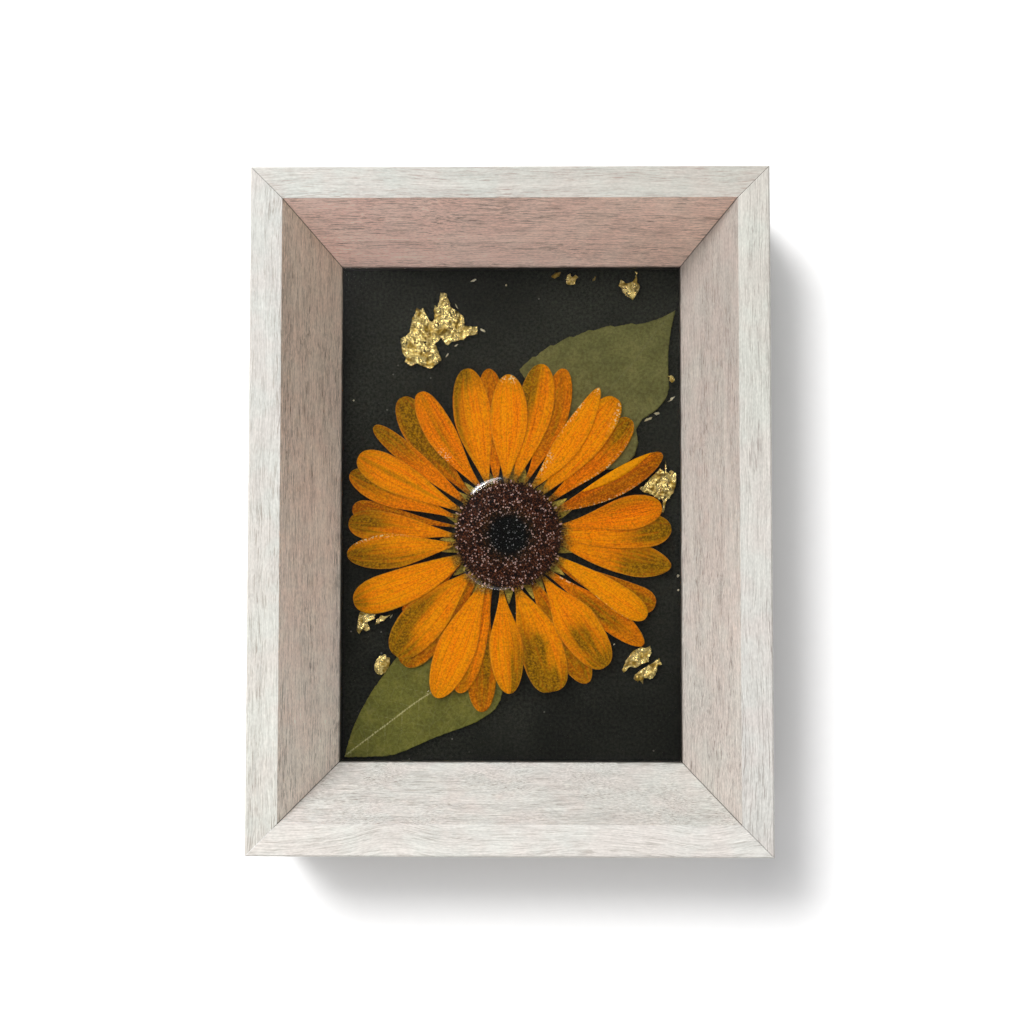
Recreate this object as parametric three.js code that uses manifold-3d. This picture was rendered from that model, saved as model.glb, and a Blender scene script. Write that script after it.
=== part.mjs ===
import * as THREE from 'three';
import { mergeVertices } from 'three/addons/utils/BufferGeometryUtils.js';
import Module from 'manifold-3d';

const wasm = await Module();
wasm.setup();

// Pressed flower frame lying on its back, in millimetres. +Z points out of the front, +Y to the top
// of the picture, and the origin is the centre of the back. Four mitred rails hold a black panel in
// their rabbet. Clear resin on the panel fills the opening up to the foot of the rails' bevel, and
// the flower, two leaves and gold flakes lie in a pocket between its two halves.

// Frame
const FRAME_W = 119;
const FRAME_H = 157;
const DEPTH = 34;
const RAIL = 17.9;
const FLAT = 7.3;
const CORNER = 0.4;
const RABBET = 15.05;
const LEDGE = 5;
const MITRE_GAP = 0.05;

// Panel and resin
const PANEL_BACK = 2;
const PANEL_PLAY = 0.25;
const RESIN_TOP = 8.9;
const RESIN_PLAY = 0.02;
const SPLIT = 6;
const POCKET_TOP = 8.25;
const POCKET_PLAY = 0.45;
const HOLLOW_PLAY = 0.25;
const LEAF_HOLLOW = 6.7;

// Flower
const FLOWER = [-0.6, -5.4];
const DISC_R = 13;
const NECK_R = 11;
const HEAD_Z = 8.3;
const DISC_TOP = 8.95;
const EYE_R = 4.8;
const HEAD_ROOM = 9.42;
const COAT_TOP = 9.75;
const FLORETS = 72;
const BASE_R = 11.3;
const PETAL_NECK = 0.3;
const PETAL_T = 0.28;
const LAYER_Z = [6.62, 7.02, 7.42, 7.82];
const BRACTS = 20;
const BRACT_R = 17;

// Leaves and gold
const LEAF_Z = 6.05;
const LEAF_T = 0.3;
const GOLD_T = 0.13;
const GOLD_LOW = 6.05;
const GOLD_HIGH = 6.42;

const COLOUR = {
  wood: 0xd9d4c9,
  panel: 0x24241f,
  resin: 0xe8f0ee,
  petal: 0xe0800a,
  disc: 0x3a2620,
  bract: 0x6e7048,
  leaf: 0x66633a,
  gold: 0xc9a955,
};

const group = new THREE.Group();

function add(name, geometry, colour, options = {}) {
  const material = new THREE.MeshStandardMaterial({ color: colour, ...options });
  const mesh = new THREE.Mesh(geometry, material);
  mesh.name = name;
  group.add(mesh);
}

function toSolid(geometry) {
  const bare = geometry.clone();
  bare.deleteAttribute('normal');
  bare.deleteAttribute('uv');
  const merged = mergeVertices(bare, 1e-4);
  return new wasm.Manifold(new wasm.Mesh({
    numProp: 3,
    vertProperties: new Float32Array(merged.attributes.position.array),
    triVerts: new Uint32Array(merged.index.array),
  }));
}

function fromSolid(solid) {
  const mesh = solid.getMesh();
  const geometry = new THREE.BufferGeometry();
  geometry.setAttribute('position', new THREE.BufferAttribute(mesh.vertProperties, 3));
  geometry.setIndex(new THREE.BufferAttribute(mesh.triVerts, 1));
  return geometry;
}

function slab(shape, z, thickness) {
  const geometry = new THREE.ExtrudeGeometry(shape, { depth: thickness, bevelEnabled: false });
  return geometry.translate(0, 0, z);
}

function block(width, height, z, thickness) {
  return new THREE.BoxGeometry(width, height, thickness).translate(0, 0, z + thickness / 2);
}

// One rail, made along X with its outer side at +Y and turned into place. Each end is drawn in as
// far as the section lies inside the frame, which cuts the mitre.
function rail(length, across, turn) {
  const section = new THREE.Shape([
    [0, 0],
    [0, DEPTH - CORNER],
    [CORNER, DEPTH],
    [FLAT, DEPTH],
    [RAIL, RESIN_TOP],
    [RAIL, LEDGE],
    [RABBET, LEDGE],
    [RABBET, 0],
  ].map(([u, z]) => new THREE.Vector2(u, z)));
  const geometry = new THREE.ExtrudeGeometry(section, { depth: 1, bevelEnabled: false });
  const position = geometry.attributes.position;
  for (let i = 0; i < position.count; i += 1) {
    const u = position.getX(i);
    const z = position.getY(i);
    const side = position.getZ(i) < 0.5 ? 1 : -1;
    position.setXYZ(i, side * (length / 2 - u - MITRE_GAP), across / 2 - u, z);
  }
  geometry.rotateZ(turn);
  return geometry;
}

add('rail_top', rail(FRAME_W, FRAME_H, 0), COLOUR.wood);
add('rail_left', rail(FRAME_H, FRAME_W, Math.PI / 2), COLOUR.wood);
add('rail_bottom', rail(FRAME_W, FRAME_H, Math.PI), COLOUR.wood);
add('rail_right', rail(FRAME_H, FRAME_W, -Math.PI / 2), COLOUR.wood);

const panelW = FRAME_W - 2 * (RABBET + PANEL_PLAY);
const panelH = FRAME_H - 2 * (RABBET + PANEL_PLAY);
add('backing_panel', block(panelW, panelH, PANEL_BACK, LEDGE - PANEL_BACK), COLOUR.panel);

// Petals, seen from the front. at: direction of the base from the flower's centre, in degrees.
// tip: end of the petal from the same centre. bow: how far the middle of the centre line swings to
// the left on the way out. wide: half-width at the belly, which lies that share of the way out.
// blunt: superellipse power of the tip, 2 for round. slim: how late the petal widens. neck: half-width
// at the base, where it isn't PETAL_NECK. layer: its level in the pressed stack, 3 in front.
const PETALS = [
  { at: 94.5, tip: [-0.1, 39.6], bow: -0.55, wide: 4.7, belly: 0.6, blunt: 2, slim: 1.5, layer: 3 },
  { at: 86, tip: [8.2, 42.2], bow: -1.05, wide: 4.5, belly: 0.66, blunt: 2.1, slim: 1.45, layer: 2 },
  { at: 75, tip: [13.6, 41.1], bow: -1.65, wide: 3.6, belly: 0.62, blunt: 2.2, slim: 1.9, layer: 1 },
  { at: 66.5, tip: [22.3, 36.3], bow: -1.5, wide: 3.3, belly: 0.52, blunt: 1.7, slim: 1.35, layer: 3 },
  { at: 51.5, tip: [26.5, 33.7], bow: -0.65, wide: 4.2, belly: 0.64, blunt: 2.6, slim: 1.3, layer: 2 },
  { at: 40.5, tip: [30, 28.6], bow: -1.05, wide: 3.8, belly: 0.66, blunt: 2.3, slim: 1.85, neck: 0.6, layer: 1 },
  { at: 28.5, tip: [37.8, 20], bow: -1.2, wide: 3.2, belly: 0.62, blunt: 2, slim: 1.2, layer: 2 },
  { at: 9, tip: [37.6, 7], bow: -0.05, wide: 4.2, belly: 0.72, blunt: 2.1, slim: 1.85, neck: 0.5, layer: 3 },
  { at: 2, tip: [39.9, 1.9], bow: -0.9, wide: 4, belly: 0.8, blunt: 2, slim: 0.8, layer: 2 },
  { at: 354, tip: [39.9, -7.7], bow: -0.4, wide: 4.2, belly: 0.7, blunt: 1.7, slim: 0.95, layer: 1 },
  { at: 331, tip: [36, -17.2], bow: -0.8, wide: 3.3, belly: 0.82, blunt: 2.4, slim: 1, neck: 0.4, layer: 0 },
  { at: 335, tip: [33.7, -20.2], bow: 0.35, wide: 3.2, belly: 0.76, blunt: 2.2, slim: 1.2, neck: 0.5, layer: 3 },
  { at: 315, tip: [33, -26.9], bow: 0.45, wide: 3.3, belly: 0.64, blunt: 2, slim: 2.25, neck: 0.7, layer: 1 },
  { at: 310.5, tip: [23.8, -32.2], bow: 0, wide: 5.2, belly: 0.56, blunt: 2.4, slim: 1.85, layer: 3 },
  { at: 297, tip: [19.4, -36.2], bow: 0.1, wide: 3.8, belly: 0.68, blunt: 2, slim: 1.1, layer: 1 },
  { at: 275.5, tip: [10.9, -38.3], bow: 0.95, wide: 5.4, belly: 0.58, blunt: 3, slim: 1.45, layer: 2 },
  { at: 260.5, tip: [0.3, -38.8], bow: 0.05, wide: 4.2, belly: 0.6, blunt: 2, slim: 1.8, layer: 3 },
  { at: 250.5, tip: [-6.4, -43.3], bow: -1.05, wide: 3.6, belly: 0.72, blunt: 2.1, slim: 2.3, neck: 0.4, layer: 1 },
  { at: 246, tip: [-12, -38.7], bow: 0, wide: 3.6, belly: 0.68, blunt: 2, slim: 1, layer: 2 },
  { at: 242.5, tip: [-17.6, -39.8], bow: -0.1, wide: 4.8, belly: 0.6, blunt: 2, slim: 1.65, neck: 0.8, layer: 3 },
  { at: 231, tip: [-25.8, -31.8], bow: 0.1, wide: 4.3, belly: 0.72, blunt: 2.3, slim: 0.95, layer: 1 },
  { at: 226.5, tip: [-27.8, -29.5], bow: -0.8, wide: 5.4, belly: 0.62, blunt: 2.3, slim: 1.35, layer: 2 },
  { at: 207.5, tip: [-26, -18.6], bow: 0.4, wide: 2.2, belly: 0.56, blunt: 2, slim: 2.8, layer: 1 },
  { at: 205, tip: [-38, -16.4], bow: 1.25, wide: 4.6, belly: 0.74, blunt: 2.2, slim: 0.85, layer: 3 },
  { at: 190.5, tip: [-39.7, -4.8], bow: 0.25, wide: 4.3, belly: 0.64, blunt: 2, slim: 1.5, layer: 2 },
  { at: 182.5, tip: [-39.4, 2.8], bow: -0.45, wide: 3.7, belly: 0.78, blunt: 2.2, slim: 1.45, layer: 1 },
  { at: 171, tip: [-38.5, 6.6], bow: 0.1, wide: 2.6, belly: 0.86, blunt: 2.2, slim: 2, layer: 0 },
  { at: 161.5, tip: [-39.1, 15.1], bow: 0.35, wide: 3.9, belly: 0.7, blunt: 2, slim: 1.85, layer: 2 },
  { at: 153, tip: [-37, 19.3], bow: 0.05, wide: 4.2, belly: 0.72, blunt: 2.3, slim: 1.45, layer: 3 },
  { at: 143, tip: [-33.2, 26.8], bow: 0.05, wide: 2.4, belly: 0.7, blunt: 2.3, slim: 1.15, layer: 2 },
  { at: 132.5, tip: [-26.4, 34], bow: 1.6, wide: 4.1, belly: 0.7, blunt: 2.2, slim: 1.8, neck: 0.4, layer: 1 },
  { at: 118.5, tip: [-21.9, 35.2], bow: 1.25, wide: 3.7, belly: 0.64, blunt: 2.3, slim: 1.65, layer: 3 },
  { at: 113, tip: [-10.3, 41.1], bow: 0.8, wide: 4.7, belly: 0.62, blunt: 2.1, slim: 1.5, layer: 2 },
  { at: 105, tip: [-5, 41.1], bow: -0.2, wide: 3.7, belly: 0.64, blunt: 2, slim: 1.5, layer: 1 },
];

// Closed outline of a petal, with every side moved out by grow.
function petalShape(petal, steps, grow = 0) {
  const turn = THREE.MathUtils.degToRad(petal.at);
  const base = new THREE.Vector2(Math.cos(turn), Math.sin(turn)).multiplyScalar(BASE_R - grow);
  const tip = new THREE.Vector2(...petal.tip);
  const along = tip.clone().sub(base).normalize();
  const left = new THREE.Vector2(-along.y, along.x);
  tip.addScaledVector(along, grow);
  const centre = base.clone().lerp(tip, 0.5).addScaledVector(left, 2 * petal.bow);
  const line = new THREE.QuadraticBezierCurve(base, centre, tip);
  const wide = petal.wide + grow;
  const neck = (petal.neck ?? PETAL_NECK) + grow;
  const halfWidth = (t) => {
    if (t < petal.belly) {
      return neck + (wide - neck) * Math.sin(Math.PI / 2 * (t / petal.belly) ** petal.slim);
    }
    const rest = (t - petal.belly) / (1 - petal.belly);
    return wide * (1 - rest ** petal.blunt) ** (1 / petal.blunt);
  };
  const side = (sign) => {
    const points = [];
    for (let i = 0; i < steps; i += 1) {
      const t = 1 - (1 - i / steps) ** 1.5;
      const point = line.getPoint(t);
      const tangent = line.getTangent(t);
      const reach = sign * halfWidth(t);
      points.push(new THREE.Vector2(
        FLOWER[0] + point.x - tangent.y * reach,
        FLOWER[1] + point.y + tangent.x * reach,
      ));
    }
    return points;
  };
  const end = new THREE.Vector2(FLOWER[0] + tip.x, FLOWER[1] + tip.y);
  return new THREE.Shape([...side(-1), end, ...side(1).reverse()]);
}

PETALS.forEach((petal, i) => {
  const name = `petal_${String(i + 1).padStart(2, '0')}`;
  add(name, slab(petalShape(petal, 11), LAYER_Z[petal.layer], PETAL_T), COLOUR.petal);
});

// The seed head: pressed nearly flat, on a narrower neck that the petals' bases tuck under, sunk to
// an eye at its centre, with rings of florets fused to its top.
function discTop(r) {
  const rim = 0.35 * (r / DISC_R) ** 4;
  const eye = 0.3 * Math.exp(-((r / EYE_R) ** 2));
  return DISC_TOP - rim - eye;
}

function disc() {
  const profile = [new THREE.Vector2(0, LAYER_Z[0] - 0.2), new THREE.Vector2(NECK_R, LAYER_Z[0] - 0.2)];
  profile.push(new THREE.Vector2(NECK_R, HEAD_Z), new THREE.Vector2(DISC_R, HEAD_Z));
  for (const r of [DISC_R, 12.4, 11, 8.5, 6, 3.5]) {
    profile.push(new THREE.Vector2(r, discTop(r)));
  }
  profile.push(new THREE.Vector2(0, discTop(0)));
  const body = new THREE.LatheGeometry(profile, 40).rotateX(Math.PI / 2);
  const pieces = [toSolid(body)];
  for (let k = 0; k < FLORETS; k += 1) {
    const r = Math.sqrt(THREE.MathUtils.lerp(5.6 ** 2, 12.2 ** 2, k / (FLORETS - 1)));
    const turn = k * Math.PI * (3 - Math.sqrt(5));
    const floret = new THREE.ConeGeometry(0.5, 0.7, 5).rotateX(Math.PI / 2);
    floret.translate(r * Math.cos(turn), r * Math.sin(turn), discTop(r) + 0.05);
    pieces.push(toSolid(floret));
  }
  const whole = wasm.Manifold.union(pieces).translate([FLOWER[0], FLOWER[1], 0]);
  return fromSolid(whole);
}

add('seed_head', disc(), COLOUR.disc);

// Green bracts behind the petals: one star-shaped cup pressed flat.
function bractShape(grow = 0) {
  const points = [];
  for (let i = 0; i < BRACTS; i += 1) {
    const turn = (i + 0.25 * Math.sin(2.1 * i)) * 2 * Math.PI / BRACTS;
    const step = Math.PI / BRACTS;
    for (const [shift, r] of [[0, BRACT_R], [0.55 * step, 14.6], [step, 11.6], [1.45 * step, 14.6]]) {
      const reach = r + grow;
      points.push(new THREE.Vector2(
        FLOWER[0] + reach * Math.cos(turn + shift),
        FLOWER[1] + reach * Math.sin(turn + shift),
      ));
    }
  }
  return new THREE.Shape(points);
}

add('bracts', slab(bractShape(), LEAF_Z, LEAF_T), COLOUR.bract);

// Leaves: a smooth closed outline through a few points, with the tip left sharp. The upper leaf has
// small forward teeth along the first stretch of its outline.
function leafOutline(points, steps) {
  const curve = new THREE.SplineCurve(points.map(([x, y]) => new THREE.Vector2(x, y)));
  return curve.getSpacedPoints(steps);
}

const UPPER_EDGE = [[2, 35.5], [7.6, 39.8], [14.3, 43.2], [22.5, 45.7], [31.5, 46.8], [37, 48.4], [40.7, 50.3]];
const UPPER_SIDE = [[40.7, 50.3], [39.6, 45.6], [38.9, 40], [38.8, 34.6], [38.9, 30], [36.4, 26], [32.4, 23.2]];
const UPPER_FOOT = [[32.4, 23.2], [30.8, 21.8], [31.3, 18], [30.9, 14.8], [26, 11], [16, 12], [9, 24]];
const LOWER_EDGE = [[-2, -43.4], [-3.4, -47.6], [-9, -51.4], [-19.3, -55.3], [-28, -59], [-34, -59.7], [-40.7, -59.8]];
const LOWER_SIDE = [[-40.7, -59.8], [-38.8, -53], [-35.2, -45.6], [-31.6, -40.2], [-27.4, -34.6]];
const LOWER_FOOT = [[-27.4, -34.6], [-20, -28], [-10, -30]];

function upperLeafShape() {
  const teeth = 8;
  const upper = leafOutline(UPPER_EDGE, 6 * teeth);
  const toothed = upper.map((point, i) => {
    const along = i / (6 * teeth);
    const bite = along < 0.75 ? 0.55 * ((i % 6) / 6) : 0;
    return new THREE.Vector2(point.x - 0.4 * bite, point.y + bite);
  });
  const side = leafOutline(UPPER_SIDE, 14).slice(1);
  const foot = leafOutline(UPPER_FOOT, 12).slice(1);
  return new THREE.Shape([...toothed, ...side, ...foot]);
}

function lowerLeafShape() {
  const lower = leafOutline(LOWER_EDGE, 18);
  const side = leafOutline(LOWER_SIDE, 10).slice(1);
  const foot = leafOutline(LOWER_FOOT, 6).slice(1);
  return new THREE.Shape([...lower, ...side, ...foot]);
}

add('leaf_upper', slab(upperLeafShape(), LEAF_Z, LEAF_T), COLOUR.leaf);
add('leaf_lower', slab(lowerLeafShape(), LEAF_Z, LEAF_T), COLOUR.leaf);

// Gold leaf, torn into flat ragged scraps. Those that touch a leaf lie on it.
const GOLD = {
  gold_upper_left: {
    z: GOLD_LOW,
    outline: [
      [-17.6, 54.8], [-16.1, 54.6], [-14.9, 51.3], [-13.4, 50.2], [-11.9, 49], [-11.3, 46.5], [-8.3, 46.3],
      [-8.4, 44.3], [-10.5, 43.9], [-12, 43], [-14.9, 42.5], [-15.7, 41.4], [-17.4, 43.4], [-18.8, 42],
      [-17.9, 39.8], [-17.3, 37.8], [-19.7, 35.8], [-22.1, 36.4], [-23.2, 37.1], [-24.8, 36.4],
      [-26.5, 37.5], [-26, 38.5], [-27, 39.9], [-27.4, 43.5], [-25.9, 44.2], [-25.3, 45], [-24.4, 48.6],
      [-23.4, 51], [-22.4, 50.4], [-21.9, 51.1], [-19.8, 47.3], [-19, 48.2], [-19.2, 51.6], [-18.1, 51.2],
    ],
    hole: [[-21.2, 41.5], [-20.9, 42.5], [-22, 42.6]],
  },
  gold_top_1: { z: GOLD_LOW, outline: [[10, 58.6], [11, 59.9], [12.3, 59.8], [12, 58.9], [10.6, 58.2]] },
  gold_top_2: {
    z: GOLD_LOW,
    outline: [
      [13.5, 57], [13.8, 58.8], [14.6, 59.6], [15.1, 58.7], [15.9, 59.2], [16.8, 58.5], [16, 57.9],
      [15.9, 56.7], [14, 56.7],
    ],
  },
  gold_top_3: { z: GOLD_LOW, outline: [[20.1, 57.6], [20.3, 58.4], [21.4, 59], [20.7, 57.8]] },
  gold_heart: {
    z: GOLD_LOW,
    outline: [
      [26.7, 56.6], [27.2, 57.9], [28.6, 57], [30, 57.3], [30.8, 58.4], [30.9, 59.3], [30.5, 59.9],
      [31.4, 59.9], [31.2, 58.8], [31.3, 57.6], [31.9, 56], [31.2, 54.3], [30.1, 52.9], [28, 54.3],
    ],
  },
  gold_curl: { z: GOLD_HIGH, outline: [[38.6, 33.9], [39.4, 34.2], [40.2, 33.6], [40.4, 32.6], [39.7, 32.2], [39.2, 32.7]] },
  gold_sliver_1: { z: GOLD_HIGH, outline: [[38.7, 27.4], [39.3, 28.4], [40.4, 28.8], [39.8, 27.9]] },
  gold_sliver_2: { z: GOLD_HIGH, outline: [[35.2, 24.6], [36.4, 24.9], [36.5, 24.4], [35.8, 24.2]] },
  gold_sliver_3: { z: GOLD_HIGH, outline: [[32.9, 22.7], [33.3, 23.4], [34.9, 23.8], [34.5, 23]] },
  gold_right: {
    z: GOLD_LOW,
    outline: [
      [31.6, 6.1], [33, 7.2], [34.5, 8.9], [36.6, 11], [37.8, 10.4], [38.1, 12.8], [38.4, 10.1], [39.4, 10.6],
      [40.8, 9.7], [40.6, 7.6], [40.2, 5.6], [39.1, 3.6], [38.4, 3.4], [38, 1.9], [37.6, 0], [37, 0.2],
      [37.4, 1.6], [37.2, 3.2], [36.2, 3.4], [34, 5], [32.5, 5.2],
    ],
  },
  gold_lower_right_1: {
    z: GOLD_LOW,
    outline: [
      [27.3, -38.6], [28.1, -36.2], [29.8, -33.8], [31.9, -32.8], [33.2, -33], [34.1, -32.6], [34.6, -34.2],
      [33.9, -35.3], [33.7, -36.5], [32, -37], [30.8, -37.9], [29, -37.7], [27.7, -39.1],
    ],
  },
  gold_lower_right_2: {
    z: GOLD_LOW,
    outline: [
      [30, -40.4], [31.2, -38.8], [33.2, -37.6], [34.7, -36.6], [36.4, -35.5], [36.5, -36.4], [37.1, -37.1],
      [36, -37.3], [35.7, -38.9], [34.3, -40.8], [32.7, -40.4], [32.3, -41.9], [31.5, -41], [31.2, -41.6],
    ],
  },
  gold_lower_left_1: {
    z: GOLD_LOW,
    outline: [
      [-37.2, -24.4], [-33.2, -24.8], [-33.5, -26], [-35.2, -27], [-34.6, -28.7], [-35.3, -29], [-36.3, -28.6],
      [-37.3, -29.8], [-38, -28.7], [-37.7, -26.8],
    ],
  },
  gold_lower_left_2: {
    z: GOLD_LOW,
    outline: [[-33.4, -27.6], [-33, -26.2], [-31.9, -25.3], [-29.7, -25.1], [-31.2, -26.4]],
  },
  gold_oval: {
    z: GOLD_HIGH,
    outline: [
      [-32.4, -35.2], [-31, -34.9], [-29.8, -35.6], [-29.6, -37], [-30.4, -38.8], [-31.8, -39.9],
      [-33, -39.4], [-33.5, -38.2], [-33.2, -36.4],
    ],
  },
};

function ring(points) {
  return points.map(([x, y]) => new THREE.Vector2(x, y));
}

for (const [name, flake] of Object.entries(GOLD)) {
  const shape = new THREE.Shape(ring(flake.outline));
  if (flake.hole) {
    shape.holes.push(new THREE.Path(ring(flake.hole)));
  }
  add(name, slab(shape, flake.z, GOLD_T), COLOUR.gold, { metalness: 0.8, roughness: 0.4 });
}

// Resin, parted at the level of the flower's back. The upper half rises in a thin coat over the seed
// head, and its underside is hollowed for everything that is set in it.
const resinW = FRAME_W - 2 * (RAIL + RESIN_PLAY);
const resinH = FRAME_H - 2 * (RAIL + RESIN_PLAY);

function turned(profile) {
  const geometry = new THREE.LatheGeometry(profile.map(([r, z]) => new THREE.Vector2(r, z)), 48);
  return toSolid(geometry.rotateX(Math.PI / 2).translate(FLOWER[0], FLOWER[1], 0));
}

// The smallest convex hollow that clears an outline on every side.
function hollow(points, top) {
  const corners = [];
  for (const { x, y } of points) {
    for (const [dx, dy] of [[1, 0], [0, 1], [-1, 0], [0, -1]]) {
      corners.push([x + HOLLOW_PLAY * dx, y + HOLLOW_PLAY * dy, SPLIT - 1]);
      corners.push([x + HOLLOW_PLAY * dx, y + HOLLOW_PLAY * dy, top]);
    }
  }
  return wasm.Manifold.hull(corners);
}

function resinUpper() {
  const body = toSolid(block(resinW, resinH, SPLIT, RESIN_TOP - SPLIT));
  const skin = turned([
    [0, SPLIT + 1], [14.6, SPLIT + 1], [14.6, RESIN_TOP], [13.9, RESIN_TOP + 0.15], [13.5, RESIN_TOP + 0.6],
    [12.9, COAT_TOP - 0.05], [0, COAT_TOP],
  ]);
  const head = turned([
    [0, SPLIT - 1], [BRACT_R + HOLLOW_PLAY, SPLIT - 1], [BRACT_R + HOLLOW_PLAY, POCKET_TOP],
    [DISC_R + 0.2, POCKET_TOP], [DISC_R + 0.2, 8.9], [12.6, HEAD_ROOM], [0, HEAD_ROOM],
  ]);
  const depth = POCKET_TOP - SPLIT + 1;
  const petals = PETALS.map((petal) => toSolid(slab(petalShape(petal, 7, POCKET_PLAY), SPLIT - 1, depth)));
  const leaves = [upperLeafShape(), lowerLeafShape()].map((shape) => hollow(shape.getPoints(), LEAF_HOLLOW));
  const flakes = Object.values(GOLD).map((flake) => hollow(ring(flake.outline), LEAF_HOLLOW));
  const pocket = wasm.Manifold.union([head, ...petals, ...leaves, ...flakes]);
  return fromSolid(body.add(skin).subtract(pocket));
}

const clear = { transparent: true, opacity: 0.3, roughness: 0.1 };
add('resin_lower', block(resinW, resinH, LEDGE, SPLIT - LEDGE), COLOUR.resin, clear);
add('resin_upper', resinUpper(), COLOUR.resin, clear);

export default group;
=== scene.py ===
"""Looks for the pressed flower frame: camera, light, materials and the detailed pieces.

Lengths are in millimetres in the CAD frame, and become metres where an object is made.
"""

import math
import random
from collections import namedtuple

import bpy
import numpy as np
from mathutils import Matrix, Vector, noise
from mathutils.geometry import delaunay_2d_cdt


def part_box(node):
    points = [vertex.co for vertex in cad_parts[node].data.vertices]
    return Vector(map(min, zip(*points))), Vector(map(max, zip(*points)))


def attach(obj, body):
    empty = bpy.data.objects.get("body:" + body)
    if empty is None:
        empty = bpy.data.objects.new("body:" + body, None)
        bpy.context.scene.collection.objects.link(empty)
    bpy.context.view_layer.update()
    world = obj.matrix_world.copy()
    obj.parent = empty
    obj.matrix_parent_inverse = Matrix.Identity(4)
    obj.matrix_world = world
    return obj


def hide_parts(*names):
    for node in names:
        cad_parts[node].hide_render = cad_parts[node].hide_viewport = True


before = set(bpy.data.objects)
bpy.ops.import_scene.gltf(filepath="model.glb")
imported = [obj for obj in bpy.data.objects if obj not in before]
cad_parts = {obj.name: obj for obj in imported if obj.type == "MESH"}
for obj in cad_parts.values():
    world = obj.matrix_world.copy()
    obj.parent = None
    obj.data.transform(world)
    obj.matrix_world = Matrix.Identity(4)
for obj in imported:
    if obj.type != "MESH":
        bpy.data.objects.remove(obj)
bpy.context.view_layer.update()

MM = 0.001

# Places that the CAD source also uses
HALF_W, HALF_H = 59.5, 78.5
RAIL = 17.9
PANEL_TOP = 5.0
RESIN_TOP = 8.9
FLOWER = Vector((-0.6, -5.4))
DISC_R = 13.0
DISC_TOP = 8.95
EYE_R = 4.8
HEAD_BACK = 6.42
BASE_R = 11.3
PETAL_NECK = 0.3
LAYER_Z = (6.62, 7.02, 7.42, 7.82)
BRACTS = 20
LEAF_Z = 6.05


# ---------------------------------------------------------------- camera, light and floor

CAMERA_AT = (4.634, -14.705, 344.204)
CAMERA_TURN = (0.0444, 0.0130, 0.0003)
LENS = 48.16
KEY_TOWARD = (-0.394, 0.473, 0.788)
LIGHT_REACH = 3.0
LIGHTS = {
    # name: direction from the frame, width and height in metres, power in watts, colour
    "key": (KEY_TOWARD, (1.0, 1.0), 62, (1.0, 0.995, 0.99)),
    "softbox": (KEY_TOWARD, (2.2, 2.2), 55, (1.0, 0.998, 0.995)),
    "strip": ((-0.205, -0.535, 0.82), (1.5, 0.15), 4.5, (1.0, 0.93, 0.9)),
}
# The room's light: on its far side, behind the viewer, and from the viewer, who stands in the way
ROOM_FAR, ROOM_NEAR, ROOM_VIEWER = (0.34, 0.343, 0.354), (0.70, 0.70, 0.70), (0.04, 0.04, 0.038)


def add_object(name, data):
    made = bpy.data.objects.new(name, data)
    bpy.context.scene.collection.objects.link(made)
    return made


def add_camera():
    camera = add_object("camera", bpy.data.cameras.new("camera"))
    camera.data.lens = LENS
    camera.data.sensor_width = 36
    camera.data.clip_start = 0.01
    x, y, z = CAMERA_TURN
    turn = Matrix.Rotation(x, 4, "X") @ Matrix.Rotation(y, 4, "Y") @ Matrix.Rotation(z, 4, "Z")
    camera.matrix_world = Matrix.Translation(Vector(CAMERA_AT) * MM) @ turn
    bpy.context.scene.camera = camera


def add_lights():
    """Soft lights, each LIGHT_REACH metres from the frame and facing it."""
    for name, (toward, size, power, colour) in LIGHTS.items():
        light = bpy.data.lights.new(name, "AREA")
        light.shape = "ELLIPSE"
        light.size, light.size_y = size
        light.energy = power
        light.color = colour
        made = add_object(name, light)
        direction = Vector(toward).normalized()
        made.location = direction * LIGHT_REACH
        made.rotation_mode = "QUATERNION"
        made.rotation_quaternion = direction.to_track_quat("Z", "Y")
        made.visible_camera = False


def add_world():
    """Soft room light: brighter from the viewer's side, with the viewer as a dim patch overhead."""
    world = bpy.data.worlds.new("studio")
    bpy.context.scene.world = world
    world.use_nodes = True
    sky = Nodes(world.node_tree)
    sky.tree.nodes.clear()
    direction = sky.node("ShaderNodeTexCoord").outputs["Generated"]

    def facing(axis, low, high):
        """From 0 to 1 as the direction comes round from low to high degrees off the axis."""
        unit = Vector(axis).normalized()
        dot = sky.node("ShaderNodeVectorMath", {0: direction, 1: unit}, operation="DOT_PRODUCT")
        return sky.ramp(dot.outputs["Value"], math.cos(math.radians(low)), math.cos(math.radians(high)))

    room = sky.mix(facing((0.25, -0.95, 0.25), 110, 20), ROOM_FAR, ROOM_NEAR)
    whole = sky.mix(facing((0.0, -0.08, 1), 32, 15), room, ROOM_VIEWER)
    background = sky.node("ShaderNodeBackground", {"Color": whole})
    sky.node("ShaderNodeOutputWorld", {"Surface": background.outputs["Background"]})


# ---------------------------------------------------------------- materials


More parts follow.
